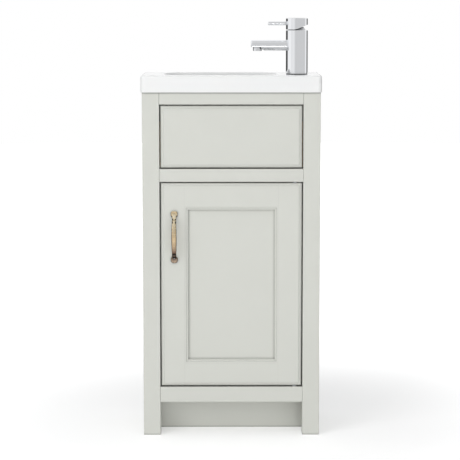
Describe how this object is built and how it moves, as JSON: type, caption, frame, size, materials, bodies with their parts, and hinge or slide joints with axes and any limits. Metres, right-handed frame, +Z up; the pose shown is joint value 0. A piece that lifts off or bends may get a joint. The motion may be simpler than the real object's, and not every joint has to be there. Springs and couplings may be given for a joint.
{
  "type": "vanity unit",
  "caption": "Slim cloakroom vanity: painted face-frame cabinet with one framed door and a fixed upper front, glazed basin with a side tap deck, lever mixer and push-plug waste.",
  "frame": {"origin": "on the floor, under the centre of the whole unit's box", "axes": "+Z up, +X to the right seen from the front, +Y to the wall behind"},
  "size_m": [0.42, 0.243, 0.9815],
  "materials": {
    "painted_wood": "satin paint",
    "bare_beech": "plain wood",
    "glazed_white": "gloss glaze",
    "bright_chrome": "polished",
    "aged_brass": "aged",
    "raw_brass": "machined",
    "zinc_steel": "zinc plated",
    "black_rubber": "matte",
    "white_nylon": "moulded",
    "grey_plastic": "moulded",
    "dark_magnet": "sintered"
  },
  "bodies": {
    "cabinet": {"top_rail": "painted_wood", "middle_rail": "painted_wood", "bottom_rail": "painted_wood", "right_front_post": "painted_wood", "left_front_post": "painted_wood", "right_side_panel": "painted_wood", "left_side_panel": "painted_wood", "base_panel": "painted_wood", "plinth_board": "painted_wood", "wall_fixing_rail": "painted_wood", "rear_bottom_rail": "painted_wood", "shelf": "painted_wood", "false_drawer_front": "painted_wood", "false_front_blocks": "bare_beech", "basin": "glazed_white", "tap_body": "bright_chrome", "cartridge_collar": "bright_chrome", "aerator_ring": "bright_chrome", "waste_body": "raw_brass", "waste_back_nut": "raw_brass", "cartridge_ring": "raw_brass", "shelf_pins": "zinc_steel", "false_front_screws": "zinc_steel", "tap_fixing_stud": "zinc_steel", "tap_steel_washer": "zinc_steel", "tap_fixing_nut": "zinc_steel", "waste_upper_seal": "black_rubber", "waste_lower_seal": "black_rubber", "tap_base_seal": "black_rubber", "tap_rubber_washer": "black_rubber", "door_pivot_bushes": "white_nylon", "magnetic_catch": "white_nylon", "cartridge_housing": "white_nylon", "aerator_insert": "grey_plastic", "catch_magnet": "dark_magnet"},
    "door": {"door_left_stile": "painted_wood", "door_right_stile": "painted_wood", "door_bottom_rail": "painted_wood", "door_top_rail": "painted_wood", "door_centre_panel": "painted_wood", "door_panel_moulding": "painted_wood", "door_pivot_pins": "zinc_steel", "catch_strike_plate": "zinc_steel", "door_handle": "aged_brass", "handle_screws": "zinc_steel"},
    "tap_rotor": {"cartridge_rotor": "raw_brass"},
    "tap_lever": {"lever_spindle": "raw_brass", "spindle_pivot_pin": "zinc_steel", "lever_cap": "bright_chrome", "lever_pin": "bright_chrome", "lever_grub_screw": "zinc_steel", "grub_screw_cover": "grey_plastic"},
    "waste_plug": {"waste_plug": "bright_chrome", "waste_plug_seal": "black_rubber"}
  },
  "joints": [
    {"name": "door_swing", "type": "hinge", "parent": "cabinet", "child": "door", "pos_m": [0.1485, -0.0855, 0.3595], "axis": [0, 0, 1], "range_deg": [0, 110]},
    {"name": "lever_turn", "type": "hinge", "parent": "cabinet", "child": "tap_rotor", "pos_m": [0.155, -0.0035, 0.9534], "axis": [0, 0, 1], "range_deg": [-50, 50]},
    {"name": "lever_lift", "type": "hinge", "parent": "tap_rotor", "child": "tap_lever", "pos_m": [0.155, -0.0035, 0.9444], "axis": [0, 1, 0], "range_deg": [0, 20]},
    {"name": "plug_lift", "type": "slide", "parent": "cabinet", "child": "waste_plug", "axis": [0, 0, 1], "range_m": [0, 0.008]}
  ]
}
